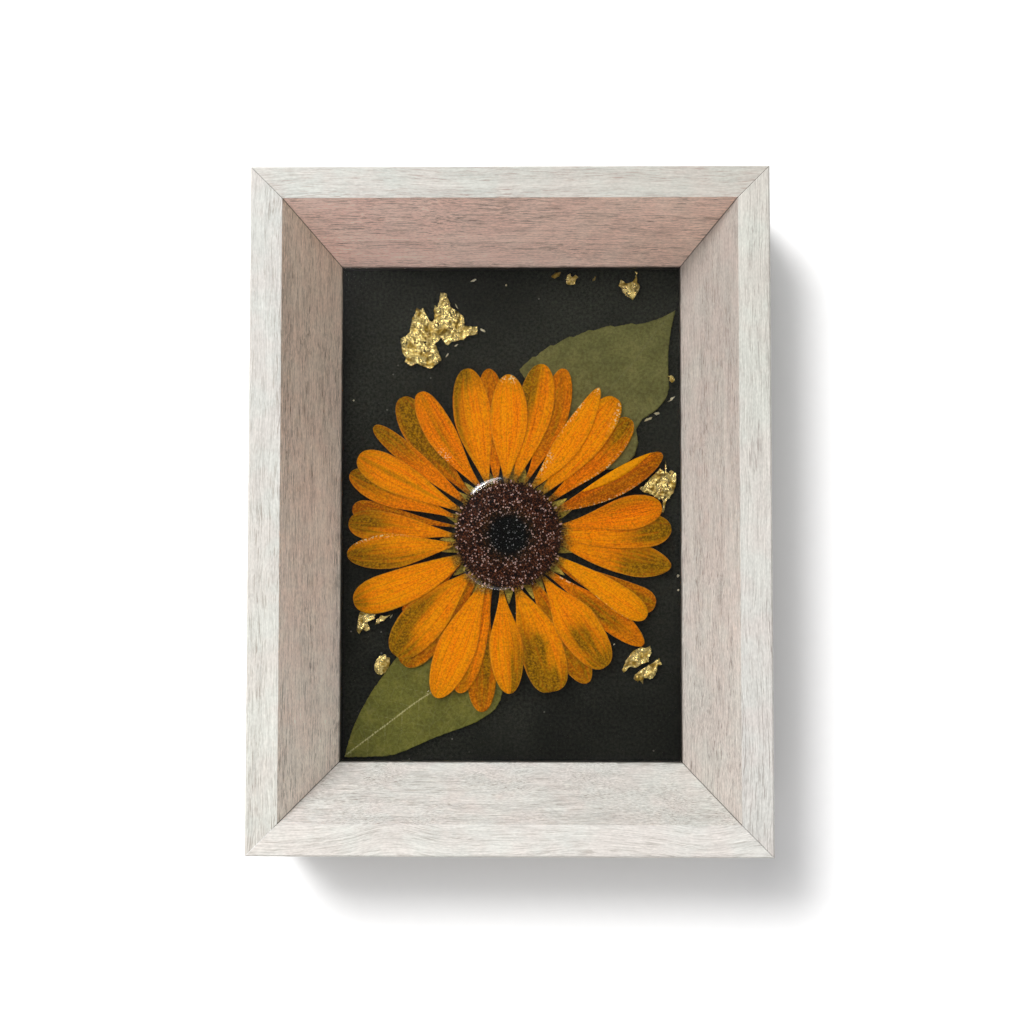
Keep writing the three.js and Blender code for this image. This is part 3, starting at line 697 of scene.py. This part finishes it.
# A ray petal of the CAD source, with its colour added: its foot's direction from the flower's centre in
# degrees, its tip, how far it bows to the left, its half-width, how far out it is widest, how blunt its
# tip and how slim its foot is, its layer, and how bright its orange is. Each olive patch is its place
# along and across the petal, its reach along and across, and its strength. neck is the half-width at
# the foot, and fold the stretch where the left edge turns over.
Petal = namedtuple(
    "Petal",
    "at tip bow wide belly blunt slim layer tone olive neck fold",
    defaults=([], PETAL_NECK, None),
)
PETALS = [
    Petal(94.5, (-0.1, 39.6), -0.55, 4.7, 0.6, 2, 1.5, 3, 0.85),
    Petal(86, (8.2, 42.2), -1.05, 4.5, 0.66, 2.1, 1.45, 2, 0.75, [(0.82, 0.55, 0.28, 0.5, 0.75)]),
    Petal(75, (13.6, 41.1), -1.65, 3.6, 0.62, 2.2, 1.9, 1, 0.45, [(0.6, 0, 0.35, 0.8, 0.4)]),
    Petal(66.5, (22.3, 36.3), -1.5, 3.3, 0.52, 1.7, 1.35, 3, 0.85),
    Petal(51.5, (26.5, 33.7), -0.65, 4.2, 0.64, 2.6, 1.3, 2, 0.8),
    Petal(40.5, (30, 28.6), -1.05, 3.8, 0.66, 2.3, 1.85, 1, 0.5, [(0.9, 0, 0.2, 0.9, 0.7)], neck=0.6),
    Petal(28.5, (37.8, 20), -1.2, 3.2, 0.62, 2, 1.2, 2, 0.2,
          [(0.6, -0.3, 0.4, 0.6, 0.35)], fold=(0.3, 0.93)),
    Petal(9, (37.6, 7), -0.05, 4.2, 0.72, 2.1, 1.85, 3, 0.6, [(0.6, 0.6, 0.35, 0.35, 0.3)], neck=0.5),
    Petal(2, (39.9, 1.9), -0.9, 4, 0.8, 2, 0.8, 2, 0.75, [(0.9, 0, 0.25, 1, 0.85)]),
    Petal(354, (39.9, -7.7), -0.4, 4.2, 0.7, 1.7, 0.95, 1, 0.75,
          [(0.85, 0, 0.28, 1, 0.7), (0.67, -0.2, 0.1, 0.5, 0.6)]),
    Petal(331, (36, -17.2), -0.8, 3.3, 0.82, 2.4, 1, 0, 0.3, [(0.6, 0, 0.5, 1, 0.5)], neck=0.4),
    Petal(335, (33.7, -20.2), 0.35, 3.2, 0.76, 2.2, 1.2, 3, 0.95, neck=0.5),
    Petal(315, (33, -26.9), 0.45, 3.3, 0.64, 2, 2.25, 1, 0.5, [(0.55, -0.1, 0.3, 0.6, 0.6)], neck=0.7),
    Petal(310.5, (23.8, -32.2), 0, 5.2, 0.56, 2.4, 1.85, 3, 0.8,
          [(0.69, -0.1, 0.13, 0.5, 0.95), (0.95, 0, 0.12, 1, 0.7)]),
    Petal(297, (19.4, -36.2), 0.1, 3.8, 0.68, 2, 1.1, 1, 0.45, [(0.6, 0, 0.5, 1, 0.6)]),
    Petal(275.5, (10.9, -38.3), 0.95, 5.4, 0.58, 3, 1.45, 2, 0.8,
          [(0.6, -0.1, 0.1, 0.35, 0.8), (0.75, -0.6, 0.35, 0.5, 0.7), (0.93, 0, 0.14, 1, 0.8)]),
    Petal(260.5, (0.3, -38.8), 0.05, 4.2, 0.6, 2, 1.8, 3, 0.8, [(0.8, 0.6, 0.3, 0.45, 0.7)]),
    Petal(250.5, (-6.4, -43.3), -1.05, 3.6, 0.72, 2.1, 2.3, 1, 0.4, [(0.6, 0, 0.35, 1, 0.75)], neck=0.4),
    Petal(246, (-12, -38.7), 0, 3.6, 0.68, 2, 1, 2, 0.6, [(0.85, 0, 0.2, 0.8, 0.3)]),
    Petal(242.5, (-17.6, -39.8), -0.1, 4.8, 0.6, 2, 1.65, 3, 0.85, neck=0.8),
    Petal(231, (-25.8, -31.8), 0.1, 4.3, 0.72, 2.3, 0.95, 1, 0.3, [(0.6, 0, 0.5, 1, 0.6)]),
    Petal(226.5, (-27.8, -29.5), -0.8, 5.4, 0.62, 2.3, 1.35, 2, 0.8,
          [(0.7, -0.6, 0.35, 0.45, 0.75), (0.93, 0, 0.15, 1, 0.7)]),
    Petal(207.5, (-26, -18.6), 0.4, 2.2, 0.56, 2, 2.8, 1, 0.25),
    Petal(205, (-38, -16.4), 1.25, 4.6, 0.74, 2.2, 0.85, 3, 0.85, [(0.97, 0, 0.08, 1, 0.4)]),
    Petal(190.5, (-39.7, -4.8), 0.25, 4.3, 0.64, 2, 1.5, 2, 0.8,
          [(0.85, 0.3, 0.25, 0.8, 0.65), (0.5, 0.6, 0.3, 0.35, 0.4)]),
    Petal(182.5, (-39.4, 2.8), -0.45, 3.7, 0.78, 2.2, 1.45, 1, 0.75, [(0.85, -0.2, 0.25, 0.9, 0.65)]),
    Petal(171, (-38.5, 6.6), 0.1, 2.6, 0.86, 2.2, 2, 0, 0.3, [(0.6, 0, 0.5, 1, 0.4)]),
    Petal(161.5, (-39.1, 15.1), 0.35, 3.9, 0.7, 2, 1.85, 2, 0.65,
          [(0.85, -0.3, 0.3, 0.8, 0.7), (0.5, -0.6, 0.4, 0.3, 0.35)]),
    Petal(153, (-37, 19.3), 0.05, 4.2, 0.72, 2.3, 1.45, 3, 0.8, [(0.6, 0, 0.4, 0.12, 0.3)]),
    Petal(143, (-33.2, 26.8), 0.05, 2.4, 0.7, 2.3, 1.15, 2, 0.55, [(0.85, 0, 0.25, 1, 0.7)]),
    Petal(132.5, (-26.4, 34), 1.6, 4.1, 0.7, 2.2, 1.8, 1, 0.35, [(0.7, 0, 0.45, 1, 0.85)], neck=0.4),
    Petal(118.5, (-21.9, 35.2), 1.25, 3.7, 0.64, 2.3, 1.65, 3, 0.6, [(0.6, 0, 0.35, 0.3, 0.3)]),
    Petal(113, (-10.3, 41.1), 0.8, 4.7, 0.62, 2.1, 1.5, 2, 0.8,
          [(0.75, 0.75, 0.35, 0.35, 0.65), (0.95, 0.2, 0.12, 0.8, 0.5)]),
    Petal(105, (-5, 41.1), -0.2, 3.7, 0.64, 2, 1.5, 1, 0.45, [(0.7, 0, 0.4, 0.9, 0.35)]),
]
PETAL_ROWS, PETAL_COLUMNS = 46, 33
PETAL_RIBS = 7
# How high over its layer's foot a petal's blade and its folded edge lie
BLADE_RISE, FOLD_RISE = 0.14, 0.3


def half_width(petal, t):
    if t < petal.belly:
        growth = math.sin(math.pi / 2 * (t / petal.belly) ** petal.slim)
        return petal.neck + (petal.wide - petal.neck) * growth
    rest = (t - petal.belly) / (1 - petal.belly)
    return petal.wide * (1 - rest ** petal.blunt) ** (1 / petal.blunt)


def petal_point(petal, t, s):
    """The point at share t of the way out and s, from -1 to 1, across to the left."""
    turn = math.radians(petal.at)
    base = Vector((math.cos(turn), math.sin(turn))) * BASE_R
    tip = Vector(petal.tip)
    along = (tip - base).normalized()
    middle = (base + tip) / 2 + Vector((-along.y, along.x)) * 2 * petal.bow
    centre = (1 - t) ** 2 * base + 2 * t * (1 - t) * middle + t * t * tip
    heading = ((1 - t) * (middle - base) + t * (tip - middle)).normalized()
    return FLOWER + centre + Vector((-heading.y, heading.x)) * s * half_width(petal, t)


def olive_at(petal, t, s):
    spots = (
        amount * math.exp(-(((t - at) / long) ** 2) - ((s - off) / broad) ** 2)
        for at, off, long, broad, amount in petal.olive
    )
    return min(1.0, 1.4 * sum(spots))


# Painted highlights where a petal stands a little off the resin and would shine: petal, place along and
# across it, and reach along and across.
PAINTED_GLINTS = [
    (1, 0.97, 0.3, 0.03, 0.5), (1, 0.96, -0.55, 0.03, 0.3), (4, 0.75, 0.95, 0.16, 0.16),
    (4, 0.25, 0.7, 0.10, 0.35), (4, 0.97, 0.0, 0.03, 0.5), (5, 0.93, -0.8, 0.10, 0.22),
    (6, 0.55, -0.96, 0.3, 0.10), (7, 0.35, -0.97, 0.28, 0.12), (25, 0.8, -0.96, 0.2, 0.12),
    (32, 0.45, 0.75, 0.05, 0.3), (13, 0.2, 0.9, 0.06, 0.3), (20, 0.06, -0.3, 0.04, 0.7),
    (12, 0.6, -0.97, 0.3, 0.03),
]


def glint_at(number, t, s):
    return sum(
        math.exp(-(((t - at) / long) ** 2) - ((s - off) / broad) ** 2)
        for which, at, off, long, broad in PAINTED_GLINTS
        if which == number
    )


def petal_relief(seed, t, s):
    """Height over the middle of the petal's layer: two grooves, fine ribs and a soft wave."""
    groove = -0.05 * math.exp(-(((abs(s) - 0.36) / 0.13) ** 2))
    ribs = 0.016 * math.cos(math.tau * PETAL_RIBS * s / 2)
    wave = 0.07 * noise.noise((t * 3.4, s * 1.1, seed))
    curl = 0.05 * (s * s - 0.4) * math.sin(math.pi * min(1, t * 1.2))
    return (groove + ribs) * math.sin(math.pi * min(1.0, t)) ** 0.5 + wave + curl


def add_petal(mesh, petal, seed):
    upper, lower, rows = [], [], []
    for i in range(PETAL_ROWS):
        t = 0.9992 * (1 - (1 - i / (PETAL_ROWS - 1)) ** 1.5)
        for j in range(PETAL_COLUMNS):
            s = 2 * j / (PETAL_COLUMNS - 1) - 1
            nick = 0.025 * noise.noise((t * 14, 3 * (s > 0), seed)) * s ** 4
            p = petal_point(petal, t, s * (1 - abs(nick)))
            z = LAYER_Z[petal.layer] + BLADE_RISE + petal_relief(seed, t, s)
            half = 0.03 + 0.06 * (1 - s ** 4) * (1 - t ** 8)
            upper.append((p.x, p.y, z + half))
            lower.append((p.x, p.y, z - half))
            rows.append((t, s))
    mesh.shell(
        upper, lower, grid_faces(PETAL_ROWS, PETAL_COLUMNS),
        along=[t for t, s in rows],
        across=[s for t, s in rows],
        olive=[olive_at(petal, t, s) for t, s in rows],
        tone=petal.tone,
        glint=[glint_at(seed, t, s) for t, s in rows],
        seed=seed * 7.3,
        vein=[max(0.0, -math.cos(math.tau * PETAL_RIBS * s / 2)) ** 3 for t, s in rows],
    )


def add_fold(mesh, petal, seed, start, end):
    """The edge of a petal turned over on itself: a narrow pale band along its left side."""
    steps, columns = 30, 5
    upper, lower = [], []
    for i in range(steps):
        t = start + (end - start) * i / (steps - 1)
        width = 0.75 * math.sin(math.pi * i / (steps - 1)) ** 0.6 + 0.03
        for j in range(columns):
            s = 1.0 - width * j / (columns - 1)
            p = petal_point(petal, t, s)
            roll = 0.05 * math.sin(math.pi * j / (columns - 1))
            z = LAYER_Z[petal.layer] + FOLD_RISE + petal_relief(seed, t, s) + roll
            upper.append((p.x, p.y, z))
            lower.append((p.x, p.y, z - 0.08))
    turned_up = [list(reversed(face)) for face in grid_faces(steps, columns)]
    mesh.shell(
        upper, lower, turned_up,
        along=0.5, across=0.3, olive=0.0, tone=1.0, seed=seed * 3.1, vein=0.0, glint=0.0,
    )


def add_petals():
    look = petal_material()
    for number, petal in enumerate(PETALS, 1):
        mesh = Mesh()
        add_petal(mesh, petal, number)
        if petal.fold:
            add_fold(mesh, petal, number, *petal.fold)
        node = f"petal_{number:02d}"
        mesh.piece(f"{node}_blade", look, "pressed_petal", node)


# ---------------------------------------------------------------- seed head and bracts

# How many florets there are between two radii, and their size
FLORETS = ((480, 0, 4.0, 0.14), (2600, 4.0, 13.0, 0.21))
GOLDEN = math.pi * (3 - math.sqrt(5))
# The disc under the florets: its foot, then the radii of its top, from the rim inward
HEAD_FOOT = ((0, HEAD_BACK), (11, HEAD_BACK), (11, 8.32), (12.9, 8.32))
HEAD_RADII = (12.95, 12.4, 11.5, 10, 8.5, 7, 5.5, 4.5, 3.5, 2.5, 1.5, 0.7, 0)


def disc_top(r):
    return DISC_TOP - 0.35 * (r / DISC_R) ** 4 - 0.3 * math.exp(-((r / EYE_R) ** 2))


def add_floret(mesh, x, y, z, size, height, lean, luck, ring):
    """A tiny star of five pointed lobes round a hollow."""
    points, tips = [], []
    for level, spread, rise in ((0, 0.6, -0.3), (1, 1.0, 1.0)):
        for k in range(10):
            lobe = k % 2 == 0
            reach = size * spread * (1.0 if lobe else 0.66)
            up = height * (rise if lobe or level == 0 else 0.7)
            turn = math.tau * k / 10 + luck * 6
            points.append((
                x + reach * math.cos(turn) + lean[0] * level,
                y + reach * math.sin(turn) + lean[1] * level,
                z + up,
            ))
            tips.append(level * (1.0 if lobe else 0.7))
    points.append((x + lean[0], y + lean[1], z + 0.5 * height))
    tips.append(0.25)
    faces = [list(reversed(range(10)))]
    faces += [[k, (k + 1) % 10, 10 + (k + 1) % 10, 10 + k] for k in range(10)]
    faces += [[10 + k, 10 + (k + 1) % 10, 20] for k in range(10)]
    mesh.add(points, faces, tip=tips, luck=luck, ring=ring)


def add_seed_head():
    rng = random.Random(12)
    mesh = Mesh()
    profile = [*HEAD_FOOT, *((r, disc_top(r) - 0.05) for r in HEAD_RADII)]
    points, faces = turned(profile, 72)
    points = [(FLOWER.x + x, FLOWER.y + y, z) for x, y, z in points]
    rings = [math.hypot(x - FLOWER.x, y - FLOWER.y) / DISC_R for x, y, z in points]
    mesh.add(points, faces, tip=0.0, luck=0.2, ring=rings)
    for count, low, high, size in FLORETS:
        for k in range(count):
            r = math.sqrt(low ** 2 + (high ** 2 - low ** 2) * (k + 0.5) / count)
            turn = k * GOLDEN
            r += rng.uniform(-0.13, 0.13)
            turn += rng.uniform(-0.13, 0.13) / max(r, 1)
            x, y = r * math.cos(turn), r * math.sin(turn)
            overhang = 0.004 + (rng.uniform(0, 0.06) if r > 12.5 else 0)
            lean = (overhang * x + rng.uniform(-0.08, 0.08), overhang * y + rng.uniform(-0.08, 0.08))
            near_rim = min(1.0, max(0.0, (13.0 - r) / 1.2))
            add_floret(
                mesh, FLOWER.x + x, FLOWER.y + y, disc_top(r), size * rng.uniform(0.85, 1.2),
                rng.uniform(0.26, 0.45) * (0.4 + 0.6 * near_rim), lean, rng.random(), r / DISC_R,
            )
    mesh.piece("seed_head_florets", floret_material(), "dried_florets", "seed_head", smooth=False)


# A bract's foot from the flower's centre, its length and its half-width, and the disc they stand on
BRACT_FOOT, BRACT_LONG, BRACT_HALF = 10.6, 6.3, 1.75
BRACT_DISC_R, BRACT_DISC_T = 12.2, 0.22


def add_bracts():
    """A ring of narrow green bracts that show between the feet of the petals."""
    mesh = Mesh()
    rows, columns = 14, 9
    for i in range(BRACTS):
        turn = (i + 0.25 * math.sin(2.1 * i)) * math.tau / BRACTS
        out = Vector((math.cos(turn), math.sin(turn)))
        side = Vector((-out.y, out.x))
        points, share = [], []
        for a in range(rows):
            t = a / (rows - 1)
            reach = BRACT_FOOT + BRACT_LONG * t
            half = BRACT_HALF * (1 - t) ** 0.8 + 0.03
            for b in range(columns):
                s = 2 * b / (columns - 1) - 1
                p = FLOWER + out * reach + side * s * half
                points.append((p.x, p.y, LEAF_Z + 0.2 + 0.16 * t - 0.1 * s * s))
                share.append(t)
        lower = [(x, y, z - 0.12) for x, y, z in points]
        mesh.shell(points, lower, grid_faces(rows, columns), along=share)
    top = LEAF_Z + BRACT_DISC_T
    points, faces = turned([(0, LEAF_Z), (BRACT_DISC_R, LEAF_Z), (BRACT_DISC_R, top), (0, top)], 48)
    mesh.add([(FLOWER.x + x, FLOWER.y + y, z) for x, y, z in points], faces, along=0.0)
    mesh.piece("bract_ring", bract_material(), "green_bract", "bracts")


# ---------------------------------------------------------------- leaves and gold

LEAVES = {
    # The midrib's foot and tip, then the darker and lighter green, the veins' colour and strength
    "leaf_upper": ((14, 18), (40.7, 50.3),
                   ((0.192, 0.183, 0.063), (0.246, 0.232, 0.080), (0.27, 0.255, 0.13), 0.35)),
    "leaf_lower": ((-12, -38), (-40.7, -59.8),
                   ((0.186, 0.181, 0.039), (0.252, 0.243, 0.051), (0.74, 0.68, 0.30), 1.0)),
}
VEIN_STEP = 5.2


def leaf_vein(foot, tip):
    """How much of a vein is at a point: 1 on the midrib, less on the side veins that leave it."""
    foot, tip = Vector(foot), Vector(tip)
    length = (tip - foot).length
    along = (tip - foot) / length
    side = Vector((-along.y, along.x))

    def vein(x, y):
        p = Vector((x, y)) - foot
        a, b = p.dot(along), p.dot(side)
        bend = noise.noise((x * 0.08, y * 0.08, 4)) * 0.8
        midrib = math.exp(-(((b + bend) / 0.16) ** 2))
        rank = (a - 0.75 * abs(b) - 0.02 * b * b + (2.4 if b > 0 else 0)) / VEIN_STEP
        off = (rank - round(rank)) * VEIN_STEP
        branch = 0.5 * math.exp(-((off / 0.2) ** 2)) * max(0.0, 1 - abs(b) / 16)
        return max(midrib, branch)

    return vein


def add_leaves():
    for seed, (node, (foot, tip, colours)) in enumerate(LEAVES.items(), 40):
        vein = leaf_vein(foot, tip)
        look = leaf_material(f"pressed_{node}", *colours)

        def height(x, y, seed=seed, vein=vein):
            swell = 0.10 * noise.noise((x * 0.15, y * 0.15, seed))
            swell += 0.03 * noise.noise((x * 0.9, y * 0.9, seed))
            return LEAF_Z + 0.22 + swell + 0.05 * vein(x, y)

        flat_piece(f"{node}_blade", node, look, "pressed_leaf", height, 0.34, 0.12, 0.14, seed, vein)


CRUMBS = [
    # x, y, length, width, turn in degrees
    (-9.3, 57.8, 1.6, 0.6, 20), (-1.3, 56.6, 0.7, 0.5, 70), (-7.0, 45.3, 1.8, 0.7, 150),
    (-15.9, 39.1, 1.5, 0.4, 60), (-39.0, 27.9, 0.5, 0.4, 0), (-13.6, 51.4, 1.6, 0.35, 120),
    (-13.6, 41.6, 1.2, 0.4, 40), (-20.1, -43.7, 0.9, 0.5, 30), (-15.4, -44.4, 0.8, 0.5, 110),
    (41.0, -15.4, 0.9, 0.6, 80), (41.1, -18.9, 0.6, 0.5, 10), (25.3, -32.2, 0.7, 0.4, 45),
    (-29.4, -25.4, 1.4, 0.3, 58), (-29.3, -38.3, 0.6, 0.3, 100), (-30.0, -40.0, 0.5, 0.3, 20),
]


CRUMB_SIDES = 9
CRUMB_Z = 6.2
FOIL_T = 0.05
FOIL_STEP = 0.2


def crumple(x, y, seed, detail):
    """Creases in foil: a noise folded at zero, so that its valleys are sharp."""
    return abs(noise.noise((x * detail, y * detail, seed)))


def add_gold():
    leaf = gold_material("gold_leaf", (0.36, 0.225, 0.035), (1.0, 0.82, 0.34), 0.27)
    # Painted light: the crumbs and slivers are the same foil painted paler, in place of the light their
    # small tilted bits catch
    pale = gold_material("gold_crumb", (0.80, 0.70, 0.42), (1.0, 0.95, 0.75), 0.55)
    for seed, node in enumerate(sorted(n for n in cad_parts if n.startswith("gold_"))):
        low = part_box(node)[0].z / MM

        def height(x, y, seed=seed, low=low):
            ridge = crumple(x, y, seed, 0.55) + 0.5 * crumple(x, y, seed, 1.5)
            return low + 0.08 + 0.42 * ridge + 0.2 * crumple(x, y, seed, 3.6)

        look = pale if "sliver" in node else leaf
        flat_piece(f"{node}_foil", node, look, "gold_leaf", height, FOIL_STEP, 0.28, FOIL_T, seed)
    add_crumbs(pale)


def add_crumbs(look):
    mesh = Mesh()
    rng = random.Random(5)
    for seed, (x, y, long, wide, turn) in enumerate(CRUMBS, 60):
        cos, sin = math.cos(math.radians(turn)), math.sin(math.radians(turn))
        loop = []
        for k in range(CRUMB_SIDES):
            a = math.tau * k / CRUMB_SIDES
            u = long / 2 * math.cos(a) * rng.uniform(0.7, 1.1)
            v = wide / 2 * math.sin(a) * rng.uniform(0.6, 1.1)
            loop.append((x + u * cos - v * sin, y + u * sin + v * cos))
        points, triangles = sheet([loop], FOIL_STEP, 0.05, seed)

        def height(px, py, seed=seed):
            return CRUMB_Z + 0.3 * crumple(px, py, seed, 1.6)

        add_sheet(mesh, points, triangles, height, FOIL_T)
    mesh.piece("gold_crumbs", look, "gold_leaf")


# ---------------------------------------------------------------- resin

# The coat over the seed head: its height, how much lower it is at the rim, where its fall begins, and
# how many millimetres the fall takes
COAT = 0.66
COAT_LOSS = 0.35
COAT_RIM = 13.4
COAT_FALL = 3.2
# The resin also stands in beads at the seed head's rim, where they catch the light: their height, the
# radius of their crest, the radius where their rise begins, and how many millimetres their fall takes
BEAD = 0.36
BEAD_RIM = 13.25
BEAD_FOOT = 10.5
BEAD_FALL = 0.4
# Each bead's direction from the flower's centre and half-width in degrees, how sharply it ends, and
# how many millimetres a degree its crest wanders from BEAD_RIM
BEADS = ((112, 19, 8, -0.012), (249, 28, 4, -0.02))


def step(value, low, high):
    share = min(1.0, max(0.0, (value - low) / (high - low)))
    return share * share * (3 - 2 * share)


def bead(r, turn):
    """Height of the beads: a slow rise from the seed head to the crest, and a short fall outside it."""
    heights = []
    for at, half, sharp, wander in BEADS:
        off = turn - at
        crest = BEAD_RIM + wander * max(-half, min(half, off))
        profile = step(r, BEAD_FOOT, crest) * math.exp(-max(0.0, r - crest) / BEAD_FALL)
        heights.append(BEAD * math.exp(-((abs(off) / half) ** sharp)) * profile)
    return max(heights)


def resin_skin(x, y):
    """Height of the resin over a point: flat, and drawn up in a thin bumpy coat over the seed head."""
    out = Vector((x, y)) - FLOWER
    r, turn = out.length, math.degrees(math.atan2(out.y, out.x)) % 360
    coat = (COAT - COAT_LOSS * step(r, 7, COAT_RIM)) * math.exp(-max(0.0, r - COAT_RIM) / COAT_FALL)
    coat += bead(r, turn)
    bumps = 0.014 * noise.noise((x * 1.4, y * 1.4, 3)) + 0.008 * noise.noise((x * 2.9, y * 2.9, 5))
    coat += bumps * min(1.0, max(0.0, (12.4 - r) / 0.8))
    edge = max(0.0, min(HALF_W - RAIL - abs(x), HALF_H - RAIL - abs(y)))
    swell = 0.035 * noise.noise((x * 0.06, y * 0.06, 7))
    return RESIN_TOP + coat + swell * min(1.0, edge / 3)


SKIN_STEPS = 420
SKIN_REACH = 17
# Shares of the way from SKIN_REACH to the walls, closer together near the walls, where the skin
# goes flat
SKIN_SHARES = (0.0, 0.04, 0.1, 0.18, 0.28, 0.4, 0.55, 0.7, 0.85, 0.95, 0.985, 0.9985, 1.0)


def skin_radii():
    """Rings round the flower's centre, close together where the coat falls away."""
    radii, r = [], 0.3
    while r < SKIN_REACH:
        radii.append(r)
        r += 0.06 if 12.9 < r < 14.6 else 0.3
    return radii


def add_resin():
    """Rings that open out from the seed head to the rails, over plain walls and one flat face."""
    reach_x, reach_y = HALF_W - RAIL + 0.03, HALF_H - RAIL + 0.03
    turns = [math.tau * (k + 0.5) / SKIN_STEPS for k in range(SKIN_STEPS)]
    for x, y in ((reach_x, reach_y), (-reach_x, reach_y), (-reach_x, -reach_y), (reach_x, -reach_y)):
        turns.append(math.atan2(y - FLOWER.y, x - FLOWER.x) % math.tau)
    turns.sort()
    outs = [Vector((math.cos(turn), math.sin(turn))) for turn in turns]
    walls = [
        min(
            (math.copysign(reach_x, out.x) - FLOWER.x) / out.x,
            (math.copysign(reach_y, out.y) - FLOWER.y) / out.y,
        )
        for out in outs
    ]
    rings = [[r] * len(outs) for r in skin_radii()]
    for share in SKIN_SHARES:
        rings.append([SKIN_REACH + share * (wall - SKIN_REACH) for wall in walls])
    flat = [FLOWER] + [FLOWER + out * r for ring in rings for out, r in zip(outs, ring)]
    count = len(outs)
    faces = [[0, 1 + k, 1 + (k + 1) % count] for k in range(count)]
    for i in range(len(rings) - 1):
        inner, outer = 1 + i * count, 1 + (i + 1) * count
        for k in range(count):
            after = (k + 1) % count
            faces.append([inner + k, outer + k, outer + after, inner + after])
    last = 1 + (len(rings) - 1) * count
    low = last + count
    sides = [[last + k, low + k, low + (k + 1) % count, last + (k + 1) % count] for k in range(count)]
    base = [low + k for k in reversed(range(count))]
    mesh = Mesh()
    points = [(x, y, resin_skin(x, y)) for x, y in flat]
    points += [(x, y, PANEL_TOP - 0.02) for x, y in flat[last:]]
    mesh.add(points, faces + sides + [base])
    made = mesh.piece("clear_resin", resin_material(), "clear_resin", "resin_lower", "resin_upper")
    for polygon in made.data.polygons[len(faces):]:
        polygon.use_smooth = False


# ---------------------------------------------------------------- wood, panel and floor

RAILS = {
    # node: grain axis, the washes on the face and on the slope, what shows in the pores, how many
    # millimetres the grain wanders. The washes run from the left or the bottom end to the other.
    # They are partly the wood's own tint and partly painted light and shade: each rail's front and
    # bevel are set lighter or darker for how the light falls on them, also along the rail.
    "rail_top": (
        0, ((0.475, 0.475, 0.445), (0.425, 0.412, 0.375)), ((0.95, 0.70, 0.62), (0.825, 0.615, 0.52)),
        (0.25, 0.155, 0.125), 4),
    "rail_left": (
        1, ((0.545, 0.535, 0.495), (0.485, 0.48, 0.455)), ((0.885, 0.80, 0.71), (0.715, 0.605, 0.495)),
        (0.20, 0.155, 0.115), 4),
    "rail_bottom": (
        0, ((0.58, 0.565, 0.53), (0.575, 0.56, 0.53)), ((0.59, 0.58, 0.555), (0.53, 0.525, 0.495)),
        (0.26, 0.23, 0.195), 16),
    "rail_right": (
        1, ((0.515, 0.50, 0.475), (0.48, 0.475, 0.435)), ((0.525, 0.49, 0.45), (0.42, 0.38, 0.345)),
        (0.20, 0.16, 0.14), 5),
}


def dress_cad():
    for seed, (node, (axis, face, slope, bare, bend)) in enumerate(RAILS.items(), 1):
        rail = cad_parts[node]
        rail.data.materials.clear()
        look = wood_material(f"whitewash_with_painted_light_{node}", axis, face, slope, bare, bend, seed * 1.7)
        rail.data.materials.append(look)
        weld = rail.modifiers.new("weld", "WELD")
        weld.merge_threshold = 1e-6
        bevel = rail.modifiers.new("worn_edges", "BEVEL")
        bevel.width = 0.02 * MM
        bevel.segments = 2
        bevel.limit_method = "ANGLE"
    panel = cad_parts["backing_panel"]
    panel.data.materials.clear()
    panel.data.materials.append(panel_material())


def add_floor():
    reach, below = 3.0, -0.05 * MM
    data = bpy.data.meshes.new("floor")
    corners = [(x * reach, y * reach, below) for x, y in ((-1, -1), (1, -1), (1, 1), (-1, 1))]
    data.from_pydata(corners, [], [[0, 1, 2, 3]])
    data.materials.append(floor_material())
    add_object("floor", data)


bpy.context.scene.view_settings.view_transform = "Standard"
add_camera()
add_world()
add_lights()
add_floor()
dress_cad()
add_petals()
add_seed_head()
add_bracts()
add_leaves()
add_gold()
add_resin()
